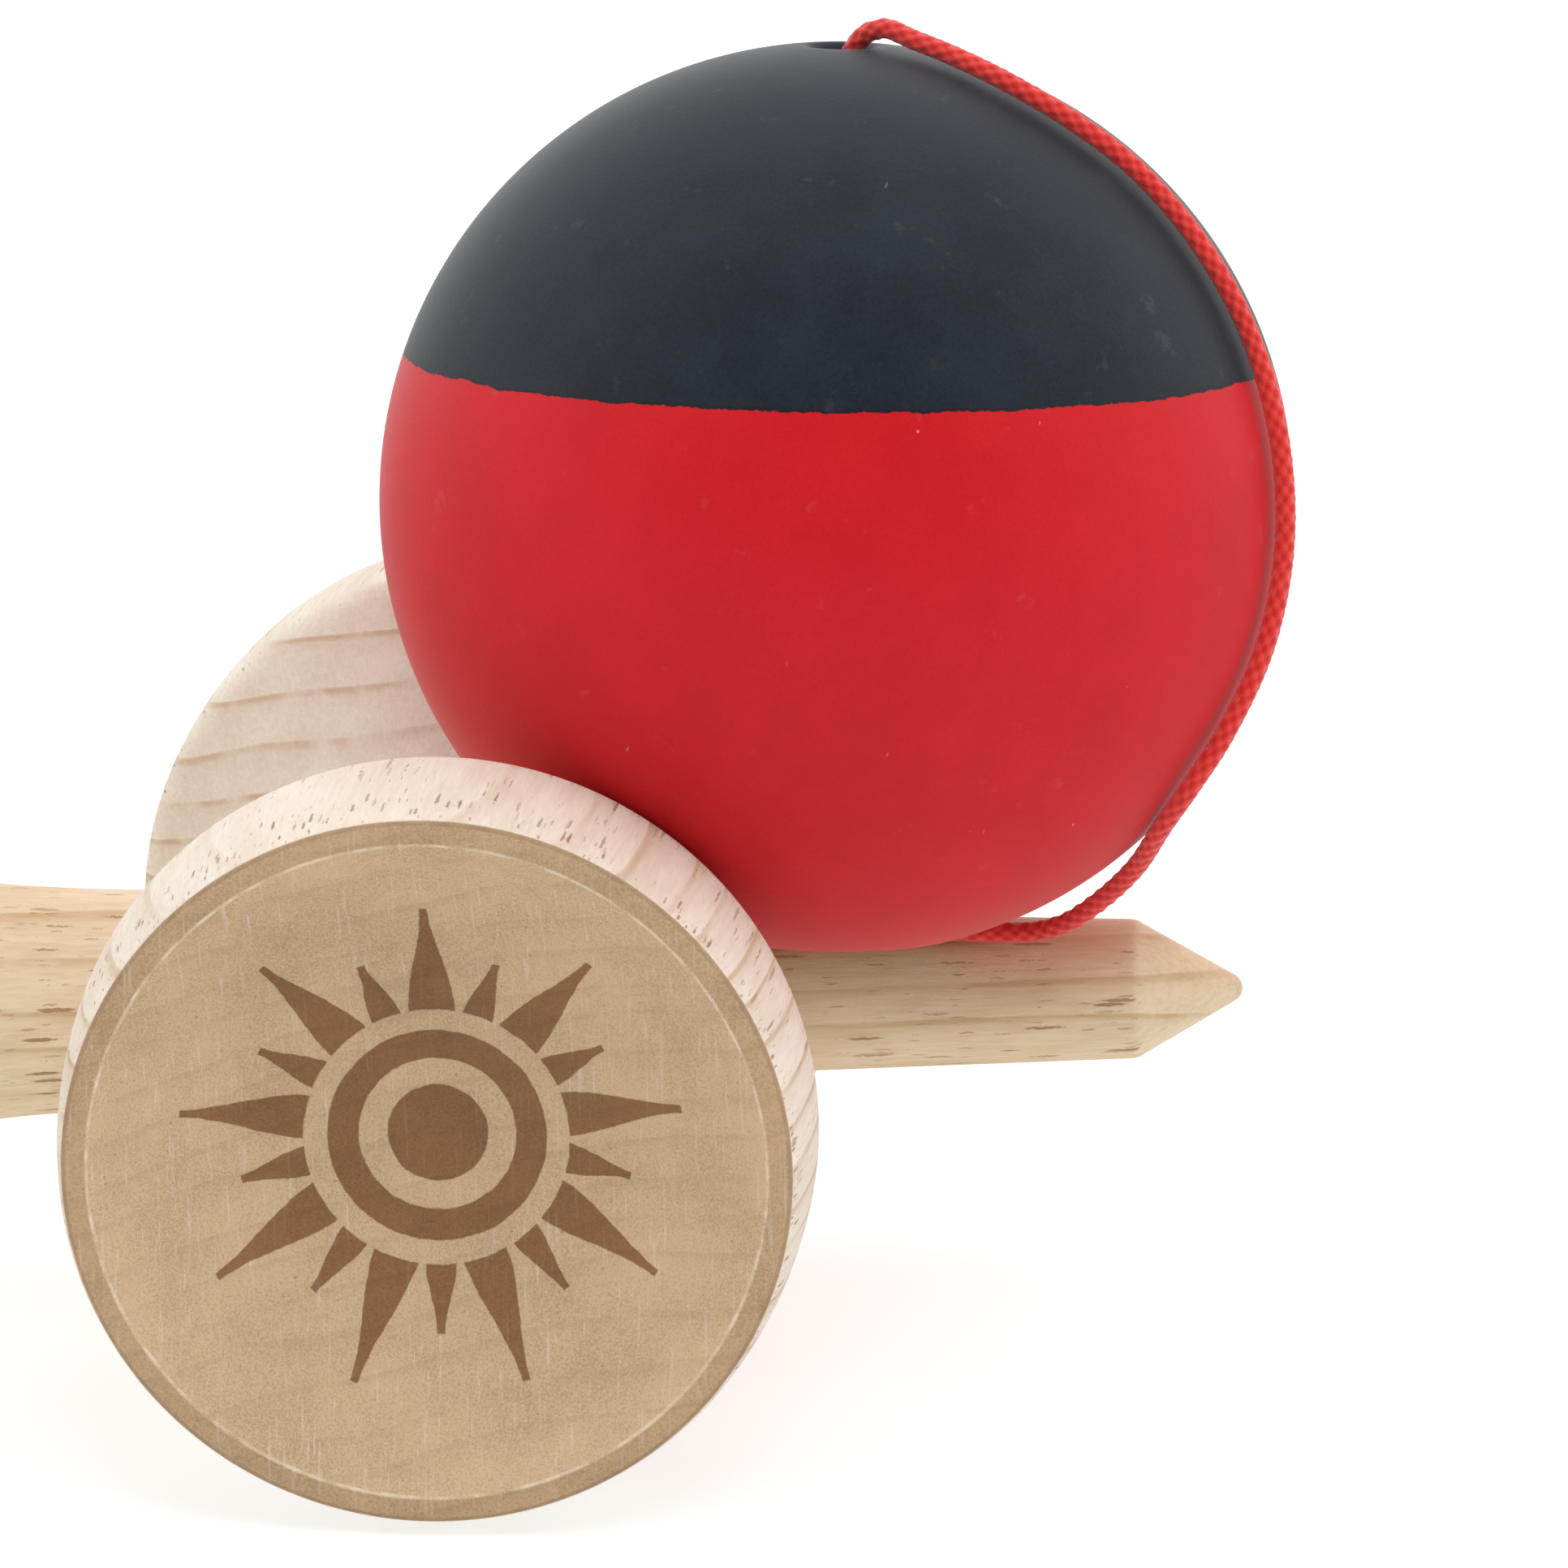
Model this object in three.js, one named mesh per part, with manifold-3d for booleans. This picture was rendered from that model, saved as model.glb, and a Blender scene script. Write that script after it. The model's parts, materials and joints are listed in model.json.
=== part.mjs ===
// A kendama lying on a table: the ken (handle, base cup and spike), the sarado (the cross piece with
// two cups), the tama (the ball) and the string that ties the ball to the cross piece.
// Millimetres, +Z up. +X runs along the ken from the base cup to the spike, +Y along the cross piece
// from the big cup to the small cup. The floor is z = 0. The origin is on the floor, under the middle
// of the box around the wooden pieces and the ball.

import * as THREE from "three";
import { mergeVertices } from "three/addons/utils/BufferGeometryUtils.js";
import Module from "manifold-3d";

const wasm = await Module();
wasm.setup();

// ---------------------------------------------------------------- driving dimensions

const GAP = 0.3; // air kept between pieces that rest on each other

const BALL_RADIUS = 30;
const BALL_BORE_RADIUS = 8.4;
const BALL_BORE_CHAMFER = 0.5;
const BALL_BORE_TOP = 9; // where the bore's straight wall ends, above the ball's centre
const BALL_BORE_ROOF = 13; // top of the bore's cone, above the ball's centre
const STRING_HOLE_RADIUS = 1.6;
const STRING_HOLE_COUNTERSINK = 2.2;
const BALL_CENTRE = new THREE.Vector3(24.1, -4.1, 60.35); // from the floor point under the cross
const BALL_LEAN_DEG = 6.5; // the string hole leans this far towards +Y

const CUP_RIM_RADIUS = 23.5;
const CUP_WIDEST_RADIUS = 24.5;
const CUP_BARREL_DEPTH = 11; // from the rim's plane to the widest circle
const CUP_SHOULDER_ROUND = 2.6;
const CUP_SHOULDER_END = THREE.MathUtils.degToRad(35); // the flank leaves the shoulder at this steepness
const CUP_LIP = 1.3; // width of the flat ring round the dish
const RIM_EDGE = 0.5; // small bevel on every rim
const DISH_RADIUS = BALL_RADIUS; // the dishes fit the ball
const BIG_CUP_REACH = 39.8; // from the ken's axis to the big cup's rim plane
const SMALL_CUP_REACH = 32;
const WAIST_RADIUS = 12;

const KEN_RIM_X = -114.7; // base cup's rim plane
const BASE_WIDEST_X = -110.2;
const BASE_RIM_RADIUS = 19.9;
const BASE_WIDEST_RADIUS = 20.8;
const SEAT_HALF = 12; // the cross piece sits on the ken between -SEAT_HALF and +SEAT_HALF
const SHOULDER_RADIUS = 7.2; // the handle's end, which stops the cross piece
const SEAT_RADIUS_BACK = 6.1;
const SEAT_RADIUS_FRONT = 5.55;
const SPIKE_BASE_RADIUS = 5.45;
const SPIKE_BASE_X = 15;
const SPIKE_END_RADIUS = 4.66;
const SPIKE_END_X = 44.3;
const TIP_X = 51.3;
const TIP_ROUND = 1;

const STRING_RADIUS = 0.7;
const STRING_SIDES = 8;
const STRING_STEP = 3.6; // length of one step along a string tube
const BEAD_RADIUS = 3.8;
const BEAD_HOLE_RADIUS = 1.2;
const BEAD_HEIGHT = 9.2; // bead's centre above the ball's centre
const STRING_START = BEAD_HEIGHT - BEAD_RADIUS + 0.2; // the string's end under the bead
const LIP_AZIMUTH = THREE.MathUtils.degToRad(-32); // the way the string leaves its hole, from +X
const STRING_SPLIT = 96; // along the route, where the part that lifts with the ball ends
const KNOT_RADIUS = 1.8;
const KNOT_HALF_HEIGHT = 1.3;
const SARADO_STRING_HOLE_RADIUS = 1.2;
const KNOT_POCKET_RADIUS = 2.2;
const KNOT_POCKET_FLOOR = 10.3; // from the ken's axis
const COIL_CENTRE = new THREE.Vector2(7, -1.5);
const COIL_MEAN_RADIUS = 8;
const COIL_HALF_WIDTH = 1.69;
const COIL_HEIGHT = 3.38;
const FLOOR_CLEARANCE = 0.05;

const ROUND_SEGMENTS = 40;
const KEN_SEGMENTS = 32;
const SMALL_SEGMENTS = 16;

// ---------------------------------------------------------------- resting attitude

// The two cups and the smaller base cup stand on the floor, so the spike points slightly up.
const baseAngle = Math.atan2(BASE_WIDEST_RADIUS, -BASE_WIDEST_X);
const tilt = Math.asin(CUP_WIDEST_RADIUS / Math.hypot(BASE_WIDEST_X, BASE_WIDEST_RADIUS)) - baseAngle;
const ballLean = THREE.MathUtils.degToRad(BALL_LEAN_DEG);
const X_AXIS = new THREE.Vector3(1, 0, 0);

// ---------------------------------------------------------------- helpers

function toSolid(geometry) {
  const bare = geometry.clone();
  bare.deleteAttribute("normal");
  bare.deleteAttribute("uv");
  const merged = mergeVertices(bare, 1e-5);
  return new wasm.Manifold(
    new wasm.Mesh({
      numProp: 3,
      vertProperties: new Float32Array(merged.attributes.position.array),
      triVerts: new Uint32Array(merged.index.array),
    }),
  );
}

function toGeometry(solid) {
  const mesh = solid.getMesh();
  const geometry = new THREE.BufferGeometry();
  geometry.setAttribute("position", new THREE.BufferAttribute(new Float32Array(mesh.vertProperties), 3));
  geometry.setIndex(new THREE.BufferAttribute(new Uint32Array(mesh.triVerts), 1));
  geometry.computeVertexNormals();
  return geometry;
}

function cut(body, ...tools) {
  return toGeometry(tools.reduce((solid, tool) => solid.subtract(toSolid(tool)), toSolid(body)));
}

function material(color, roughness) {
  return new THREE.MeshStandardMaterial({ color, roughness, metalness: 0 });
}

function addMesh(parent, name, geometry, finish) {
  const mesh = new THREE.Mesh(geometry, finish);
  mesh.name = name;
  parent.add(mesh);
  return mesh;
}

// Points [x, y] of an arc about (cx, cy), both ends included.
function arc(cx, cy, radius, fromAngle, toAngle, steps) {
  return Array.from({ length: steps + 1 }, (_, i) => {
    const angle = fromAngle + ((toAngle - fromAngle) * i) / steps;
    return [cx + radius * Math.cos(angle), cy + radius * Math.sin(angle)];
  });
}

// A solid of revolution about +Y from [radius, height] points.
function turned(points, segments = ROUND_SEGMENTS) {
  const profile = points.map(([radius, height]) => new THREE.Vector2(Math.max(radius, 0), height));
  return new THREE.LatheGeometry(profile, segments);
}

function closed(points) {
  return [...points, points[0]];
}

// A plain cylinder or cone along +Y between two heights.
function plug(radiusLow, radiusHigh, low, high, segments = SMALL_SEGMENTS) {
  const body = new THREE.CylinderGeometry(radiusHigh, radiusLow, high - low, segments);
  body.translate(0, (low + high) / 2, 0);
  return body;
}

// ---------------------------------------------------------------- sarado (cross piece with two cups)

// Outline of one cup from the dish's middle, round the rim and down the flank to the waist.
// depth is measured from the rim's plane, inwards.
function cupOutline() {
  const opening = CUP_RIM_RADIUS - RIM_EDGE - CUP_LIP;
  const sphereCentre = -Math.sqrt(DISH_RADIUS ** 2 - opening ** 2);
  const dishAngle = Math.asin(opening / DISH_RADIUS);
  const dish = arc(sphereCentre, 0, DISH_RADIUS, 0, dishAngle, 6).map(([depth, radius]) => [radius, depth]);
  const barrel = [0.3, 0.65].map((part) => [
    CUP_WIDEST_RADIUS - (CUP_WIDEST_RADIUS - CUP_RIM_RADIUS) * (1 - part) ** 2,
    CUP_BARREL_DEPTH * part,
  ]);
  const shoulder = arc(
    CUP_BARREL_DEPTH,
    CUP_WIDEST_RADIUS - CUP_SHOULDER_ROUND,
    CUP_SHOULDER_ROUND,
    Math.PI / 2,
    CUP_SHOULDER_END,
    3,
  ).map(([depth, radius]) => [radius, depth]);
  const rim = [
    [CUP_RIM_RADIUS - RIM_EDGE, 0],
    [CUP_RIM_RADIUS, RIM_EDGE],
  ];
  return [...dish, ...rim, ...barrel, ...shoulder];
}

// The flank from the shoulder's end to the waist, as a curve in (radius, depth).
function cupFlank(shoulderEnd, waistDepth) {
  const start = new THREE.Vector2(...shoulderEnd);
  const bendDepth = start.y + (start.x - WAIST_RADIUS) * Math.tan(CUP_SHOULDER_END);
  const bend = new THREE.Vector2(WAIST_RADIUS, bendDepth);
  const end = new THREE.Vector2(WAIST_RADIUS, waistDepth);
  return new THREE.QuadraticBezierCurve(start, bend, end).getPoints(6).slice(1).map((p) => [p.x, p.y]);
}

function saradoGeometry() {
  const outline = cupOutline();
  const shoulderEnd = outline[outline.length - 1];
  const big = [...outline, ...cupFlank(shoulderEnd, BIG_CUP_REACH - 5)];
  const small = [...outline, ...cupFlank(shoulderEnd, SMALL_CUP_REACH - 2)];
  const bigSide = big.map(([radius, depth]) => [radius, -BIG_CUP_REACH + depth]);
  const smallSide = small.map(([radius, depth]) => [radius, SMALL_CUP_REACH - depth]).reverse();
  const body = turned([...bigSide, ...smallSide]);

  const boreHalf = WAIST_RADIUS + 2;
  const boreSlope = (SEAT_RADIUS_BACK - SEAT_RADIUS_FRONT) / (2 * SEAT_HALF);
  const boreMiddle = (SEAT_RADIUS_BACK + SEAT_RADIUS_FRONT) / 2 + GAP;
  const bore = plug(
    boreMiddle + boreSlope * boreHalf,
    boreMiddle - boreSlope * boreHalf,
    -boreHalf,
    boreHalf,
    32,
  );
  bore.rotateZ(-Math.PI / 2);
  // A flat seat round the bore, where the handle's shoulder stops the cross piece.
  const seat = plug(SHOULDER_RADIUS + GAP, SHOULDER_RADIUS + GAP, -boreHalf, -SEAT_HALF, 32);
  seat.rotateZ(-Math.PI / 2);

  const stringHole = plug(SARADO_STRING_HOLE_RADIUS, SARADO_STRING_HOLE_RADIUS, -WAIST_RADIUS - 2, 0);
  stringHole.rotateX(Math.PI / 2);
  const knotPocket = plug(KNOT_POCKET_RADIUS, KNOT_POCKET_RADIUS, -KNOT_POCKET_FLOOR, 0);
  knotPocket.rotateX(Math.PI / 2);
  return cut(body, bore, seat, stringHole, knotPocket);
}

// ---------------------------------------------------------------- ken (handle, base cup and spike)

function kenGeometry() {
  const opening = BASE_RIM_RADIUS - RIM_EDGE - CUP_LIP;
  const sphereCentre = KEN_RIM_X - Math.sqrt(DISH_RADIUS ** 2 - opening ** 2);
  const dish = arc(sphereCentre, 0, DISH_RADIUS, 0, Math.asin(opening / DISH_RADIUS), 5);
  const barrel = [
    [KEN_RIM_X, BASE_RIM_RADIUS - RIM_EDGE],
    [KEN_RIM_X + RIM_EDGE, BASE_RIM_RADIUS],
    [KEN_RIM_X + 2, BASE_WIDEST_RADIUS - 0.25],
    [BASE_WIDEST_X, BASE_WIDEST_RADIUS],
  ];
  const flank = new THREE.SplineCurve(
    [
      [-107.4, 20.2],
      [-104, 17.2],
      [-99.5, 12],
      [-93.5, 9.8],
      [-84, 10.4],
      [-68, 11.8],
      [-50, 10.5],
      [-31, 7.8],
      [-20, 7.3],
      [-SEAT_HALF - GAP, SHOULDER_RADIUS],
    ].map(([x, radius]) => new THREE.Vector2(x, radius)),
  )
    .getPoints(16)
    .map((point) => [point.x, point.y]);
  const slope = (SPIKE_END_RADIUS - TIP_ROUND) / (TIP_X - SPIKE_END_X - TIP_ROUND);
  const coneAngle = Math.PI / 2 - Math.atan(slope);
  const tip = arc(TIP_X - TIP_ROUND, 0, TIP_ROUND, coneAngle, 0, 3);
  const spike = [
    [-SEAT_HALF - GAP, SEAT_RADIUS_BACK],
    [SEAT_HALF, SEAT_RADIUS_FRONT],
    [SPIKE_BASE_X, SPIKE_BASE_RADIUS],
    [SPIKE_END_X - 0.5, SPIKE_END_RADIUS],
    [SPIKE_END_X + 0.4, SPIKE_END_RADIUS - 0.3],
    ...tip,
  ];
  const outline = [...dish, ...barrel, ...flank, ...spike].map(([x, radius]) => [radius, x]);
  const body = turned(outline, KEN_SEGMENTS);
  body.rotateZ(-Math.PI / 2);
  return body;
}

// ---------------------------------------------------------------- tama (ball), bead and knots

// The ball about +Y, with the string hole at the top and the bore for the spike below.
function ballGeometry() {
  const mouth = BALL_BORE_RADIUS + BALL_BORE_CHAMFER;
  const fromAngle = -Math.acos(mouth / BALL_RADIUS);
  const toAngle = Math.acos(STRING_HOLE_COUNTERSINK / BALL_RADIUS);
  const skin = arc(0, 0, BALL_RADIUS, fromAngle, toAngle, 20);
  const topHeight = Math.sqrt(BALL_RADIUS ** 2 - STRING_HOLE_COUNTERSINK ** 2);
  const mouthHeight = -Math.sqrt(BALL_RADIUS ** 2 - mouth ** 2);
  return turned(
    closed([
      ...skin,
      [STRING_HOLE_RADIUS, topHeight - 0.9],
      [STRING_HOLE_RADIUS, BALL_BORE_ROOF],
      [BALL_BORE_RADIUS - 1, BALL_BORE_TOP + 1.6],
      [BALL_BORE_RADIUS, BALL_BORE_TOP],
      [BALL_BORE_RADIUS, mouthHeight + BALL_BORE_CHAMFER],
    ]),
  );
}

function beadGeometry() {
  const angle = Math.acos(BEAD_HOLE_RADIUS / BEAD_RADIUS);
  return turned(closed(arc(0, 0, BEAD_RADIUS, -angle, angle, 8)), SMALL_SEGMENTS);
}

function knotGeometry() {
  const knot = new THREE.SphereGeometry(1, 12, 8);
  knot.scale(KNOT_RADIUS, KNOT_HALF_HEIGHT, KNOT_RADIUS);
  return knot;
}

// ---------------------------------------------------------------- string

// A point in the ball's frame (+Z out of the string hole), moved to the floor point under the cross.
function fromBall(x, y, z) {
  return new THREE.Vector3(x, y, z).applyAxisAngle(X_AXIS, -ballLean).add(BALL_CENTRE);
}

// A point where the string runs up the string hole and bends over its lip, always in one upright
// plane: how far it is from the hole's axis, and its height above the ball's centre.
function overLip(aside, height) {
  return fromBall(aside * Math.cos(LIP_AZIMUTH), aside * Math.sin(LIP_AZIMUTH), height);
}

// A point just above the ball's skin: polar angle from the string hole and azimuth from +X, in degrees.
function onBall(polar, azimuth) {
  const radius = BALL_RADIUS + STRING_RADIUS + GAP;
  const [p, a] = [polar, azimuth].map(THREE.MathUtils.degToRad);
  return fromBall(
    radius * Math.sin(p) * Math.cos(a),
    radius * Math.sin(p) * Math.sin(a),
    radius * Math.cos(p),
  );
}

// The string from the bead's knot up through the ball's string hole, over its lip and down the
// ball's side, then along the spike under the ball, and down to the coil on the floor.
const STRING_ROUTE = [
  overLip(0, STRING_START),
  overLip(0, 14),
  overLip(0.33, 20),
  overLip(0.52, 24.5),
  overLip(0.55, 27.3),
  overLip(0.55, 28.3),
  overLip(0.71, 29.25),
  overLip(1.19, 30.11),
  overLip(1.92, 30.75),
  overLip(2.83, 31.12),
  overLip(3.8, 31.17),
  overLip(5.41, 30.68),
  onBall(16, -31),
  onBall(24, -29.5),
  onBall(33.5, -25),
  onBall(42.6, -21),
  onBall(54, -19),
  onBall(66, -17.8),
  onBall(79, -17.3),
  onBall(92, -17.3),
  onBall(104.5, -18.6),
  onBall(115.7, -21.6),
  onBall(123, -23.4),
  ...[
    [46.2, -14.8, 41.7],
    [44.3, -10.9, 37.6],
    [41.9, -7.7, 34.3],
    [39.6, -5.6, 32.1],
    [37.7, -4.3, 31.1],
    [35.5, -3.6, 30.75],
    [33.0, -3.2, 30.65],
    [30.0, -3.0, 30.65],
    [26.0, -3.0, 30.6],
    [21.0, -3.7, 30.3],
    [17.3, -5.2, 29.4],
    [14.7, -7.4, 27.2],
    [13.3, -9.0, 23.5],
    [12.6, -9.7, 18.0],
    [12.2, -9.9, 12.0],
    [11.5, -10.0, 8.0],
    [11.1, -9.9, 4.45],
  ].map((point) => new THREE.Vector3(...point)),
];

// The tail, from the knot in the cross piece down to the coil.
const STRING_TAIL = [
  [0.36, 0, 14.1],
  [0.42, 0, 11.5],
  [0.2, -0.9, 8.6],
  [-0.3, -2.0, 6.2],
  [-0.6, -2.1, 4.45],
].map((point) => new THREE.Vector3(...point));

function smooth(points) {
  return new THREE.CatmullRomCurve3(points, false, "centripetal");
}

// A string tube along a curve, from one distance along it to another.
function tube(curve, from, to) {
  const length = curve.getLength();
  const steps = Math.max(2, Math.round((to - from) / STRING_STEP));
  const points = Array.from({ length: steps + 1 }, (_, i) =>
    curve.getPointAt((from + ((to - from) * i) / steps) / length),
  );
  const section = new THREE.Shape();
  for (let side = 0; side < STRING_SIDES; side += 1) {
    const angle = (side / STRING_SIDES) * Math.PI * 2;
    const corner = [STRING_RADIUS * Math.cos(angle), STRING_RADIUS * Math.sin(angle)];
    if (side === 0) section.moveTo(...corner);
    else section.lineTo(...corner);
  }
  section.closePath();
  return new THREE.ExtrudeGeometry(section, { steps, bevelEnabled: false, extrudePath: smooth(points) });
}

function coilGeometry() {
  const [low, high] = [FLOOR_CLEARANCE, FLOOR_CLEARANCE + COIL_HEIGHT];
  const [inner, outer] = [COIL_MEAN_RADIUS - COIL_HALF_WIDTH, COIL_MEAN_RADIUS + COIL_HALF_WIDTH];
  const edge = STRING_RADIUS;
  const ring = turned(
    closed([
      [outer - edge, low],
      [outer, low + edge],
      [outer, high - edge],
      [outer - edge, high],
      [inner + edge, high],
      [inner, high - edge],
      [inner, low + edge],
      [inner + edge, low],
    ]),
    24,
  );
  ring.rotateX(Math.PI / 2);
  return ring;
}

// ---------------------------------------------------------------- finishes

const kenWood = material("#cbb38e", 0.6);
const saradoWood = material("#dcc6a8", 0.6);
const ballPaint = material("#bf1820", 0.55);
const beadPlastic = material("#e8e2d0", 0.4);

// Each string piece has a material of its own, all of one braid.
function braid() {
  return material("#c8282c", 0.9);
}

// ---------------------------------------------------------------- assembly

const group = new THREE.Group();

// Ken and cross piece share one frame: the crossing of their axes, tilted to rest on the floor.
const cross = new THREE.Group();
cross.position.z = CUP_WIDEST_RADIUS;
cross.rotation.y = -tilt;
group.add(cross);
addMesh(cross, "ken", kenGeometry(), kenWood);
addMesh(cross, "sarado", saradoGeometry(), saradoWood);
const saradoKnot = addMesh(cross, "sarado_knot", knotGeometry(), braid());
saradoKnot.rotation.x = Math.PI / 2;
saradoKnot.position.z = -KNOT_POCKET_FLOOR + KNOT_HALF_HEIGHT + GAP;

// The ball's frame: +Z out of the string hole.
const ball = new THREE.Group();
ball.position.copy(BALL_CENTRE);
ball.rotation.x = -ballLean;
group.add(ball);
const tama = addMesh(ball, "tama", ballGeometry(), ballPaint);
tama.rotation.x = Math.PI / 2;
const bead = addMesh(ball, "bead", beadGeometry(), beadPlastic);
bead.rotation.x = Math.PI / 2;
bead.position.z = BEAD_HEIGHT;
const beadKnot = addMesh(ball, "bead_knot", knotGeometry(), braid());
beadKnot.rotation.x = Math.PI / 2;
beadKnot.position.z = STRING_START - GAP - KNOT_HALF_HEIGHT;

const route = smooth(STRING_ROUTE);
const tail = smooth(STRING_TAIL);
addMesh(group, "string_upper", tube(route, 0, STRING_SPLIT - GAP / 2), braid());
addMesh(group, "string_lower", tube(route, STRING_SPLIT + GAP / 2, route.getLength()), braid());
addMesh(group, "string_tail", tube(tail, 0, tail.getLength()), braid());
const coil = addMesh(group, "string_coil", coilGeometry(), braid());
coil.position.set(COIL_CENTRE.x, COIL_CENTRE.y, 0);

// Put the origin under the middle of the wooden pieces and the ball.
group.updateMatrixWorld(true);
const box = new THREE.Box3();
for (const name of ["ken", "sarado", "tama"]) {
  box.expandByObject(group.getObjectByName(name), true);
}
group.position.set(-(box.min.x + box.max.x) / 2, -(box.min.y + box.max.y) / 2, 0);

export default group;
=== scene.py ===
"""The looks of a kendama lying on a pale floor, in the CAD model's frame.

The ken (handle, base cup and spike), the sarado (the cross piece with two cups) and the tama (the
ball) are turned again here with finer outlines than the CAD solids, and the string is one braided
cord. Lengths named below are in millimetres, and MM turns them into Blender's metres.
Two frames are used besides the model's own:
  - the cross frame, with its origin where the ken's and the sarado's axes cross, X along the ken
    towards the spike and Y along the sarado towards the small cup;
  - the ball frame, with its origin at the ball's centre and Z out of the string hole.
"""

import json
import math

import bmesh
import bpy
import numpy as np
from mathutils import Matrix, Vector


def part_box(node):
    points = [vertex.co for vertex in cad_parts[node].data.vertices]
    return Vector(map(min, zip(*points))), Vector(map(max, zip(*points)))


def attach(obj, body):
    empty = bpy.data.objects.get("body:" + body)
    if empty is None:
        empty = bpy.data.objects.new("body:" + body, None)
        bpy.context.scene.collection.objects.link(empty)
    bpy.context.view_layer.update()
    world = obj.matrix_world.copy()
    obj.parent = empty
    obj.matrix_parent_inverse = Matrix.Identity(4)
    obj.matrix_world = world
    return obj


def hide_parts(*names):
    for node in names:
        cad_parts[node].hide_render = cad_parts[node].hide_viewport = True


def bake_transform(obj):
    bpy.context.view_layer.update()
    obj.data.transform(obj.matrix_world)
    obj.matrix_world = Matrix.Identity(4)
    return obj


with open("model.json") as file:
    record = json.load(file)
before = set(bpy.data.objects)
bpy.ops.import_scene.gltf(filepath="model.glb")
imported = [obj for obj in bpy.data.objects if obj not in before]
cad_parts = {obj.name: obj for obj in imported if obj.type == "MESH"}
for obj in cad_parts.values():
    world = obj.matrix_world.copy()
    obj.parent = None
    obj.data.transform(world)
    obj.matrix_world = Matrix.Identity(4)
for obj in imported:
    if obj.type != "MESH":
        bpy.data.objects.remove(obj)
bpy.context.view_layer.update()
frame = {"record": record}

# ------------------------------------------------------------------ driving dimensions (mm)

MM = 0.001
GAP = 0.3  # air kept between pieces that rest on each other
TINY = 1e-6  # a radius below this is a point on the axis
SHARP_ANGLE = math.radians(38)  # edges bent more than this are shaded as edges

BALL_RADIUS = 30
BORE_RADIUS = 8.4
BORE_CHAMFER = 0.5
BORE_TOP = 9  # where the bore's straight wall ends, above the ball's centre
BORE_ROOF = 13  # top of the bore's cone, above the ball's centre
STRING_HOLE_RADIUS = 1.6
STRING_HOLE_COUNTERSINK = 2.2
BALL_CENTRE = (24.1, -4.1, 60.35)  # from the floor point under the cross
BALL_LEAN = math.radians(6.5)  # the string hole leans this far towards +Y
PAINT_LINE = 9.4  # height of the two paints' border above the ball's centre

CUP_RIM_RADIUS = 23.5
CUP_WIDEST_RADIUS = 24.5
CUP_BARREL_DEPTH = 11  # from the rim's plane to the widest circle
CUP_SHOULDER_ROUND = 2.6
CUP_SHOULDER_END = math.radians(35)  # the flank leaves the shoulder at this steepness
CUP_LIP = 1.3  # width of the flat ring round the dish
RIM_EDGE = 0.5  # rounding of every rim's outer edge
LIP_EDGE = 0.22  # rounding of every rim's inner edge
DISH_RADIUS = BALL_RADIUS  # the dishes fit the ball
DISH_EDGE = CUP_RIM_RADIUS - RIM_EDGE - CUP_LIP  # radius of the cups' openings
BIG_CUP_REACH = 39.8  # from the ken's axis to the big cup's rim plane
SMALL_CUP_REACH = 32
WAIST_RADIUS = 12
BIG_WAIST_DEPTH = BIG_CUP_REACH - 5  # from the rim's plane to the straight waist
SMALL_WAIST_DEPTH = SMALL_CUP_REACH - 2
BORE_START = WAIST_RADIUS + 2  # the cross piece's bores start this far outside its axis

KEN_RIM_X = -114.7  # base cup's rim plane
BASE_WIDEST_X = -110.2
BASE_RIM_RADIUS = 19.9
BASE_WIDEST_RADIUS = 20.8
HANDLE_PROFILE = (  # radius and place along the ken, from the base cup's flank to the shoulder
    (20.2, -107.4),
    (17.2, -104),
    (12, -99.5),
    (9.8, -93.5),
    (10.4, -84),
    (11.8, -68),
    (10.5, -50),
    (7.8, -31),
    (7.3, -20),
)
SEAT_HALF = 12  # the cross piece sits on the ken between -SEAT_HALF and +SEAT_HALF
SHOULDER_RADIUS = 7.2  # the handle's end, which stops the cross piece
SEAT_RADIUS_BACK = 6.1
SEAT_RADIUS_FRONT = 5.55
SPIKE_BASE_RADIUS = 5.45
SPIKE_BASE_X = 15
SPIKE_END_RADIUS = 4.66
SPIKE_END_X = 44.3
TIP_X = 51.3
TIP_ROUND = 1

STRING_RADIUS = 0.7
STRING_STEP = 0.1  # length of one step along the string
STRING_SIDES = 30
STRING_SPAN_POINTS = 12  # points of the smooth line between two points of the route
LIP_AZIMUTH = math.radians(-32)  # the way the string leaves its hole
BRAID_STRANDS = 5  # diamonds of the braid round the string
BRAID_STEP = 0.62  # from one row of diamonds to the next
BRAID_RELIEF = 0.12
BEAD_RADIUS = 3.8
BEAD_HOLE_RADIUS = 1.2
BEAD_HEIGHT = 9.2  # bead's centre above the ball's centre
STRING_START = BEAD_HEIGHT - BEAD_RADIUS + 0.2  # where the string leaves the bead's underside
KNOT_HALF_HEIGHT = 1.3
KNOT_STRING_RADIUS = 0.58  # the string is squeezed in a tight knot
KNOT_STEP = STRING_STEP * 1.5
KNOT_REACH = 0.85  # from the knot's axis to the middle of its lobes
KNOT_LOBE = 0.42
KNOT_WAVE = 0.5
SARADO_STRING_HOLE_RADIUS = 1.2
KNOT_POCKET_RADIUS = 2.2
KNOT_POCKET_FLOOR = 10.3  # below the ken's axis
COIL_CENTRE = (7, -1.5)  # from the floor point under the cross
COIL_MEAN_RADIUS = 8
COIL_FROM = math.radians(160)  # where the coil begins round its centre
COIL_TURNS = 3 + 205 / 360
COIL_POINTS = 24  # points for each turn
COIL_LIFT = 0.05  # air between the coil and the floor
BUNDLE_FROM = 100  # where the first turn lies round the bundle's middle, in degrees
BUNDLE_TURN = 90  # and how far the next turn lies further round

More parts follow.
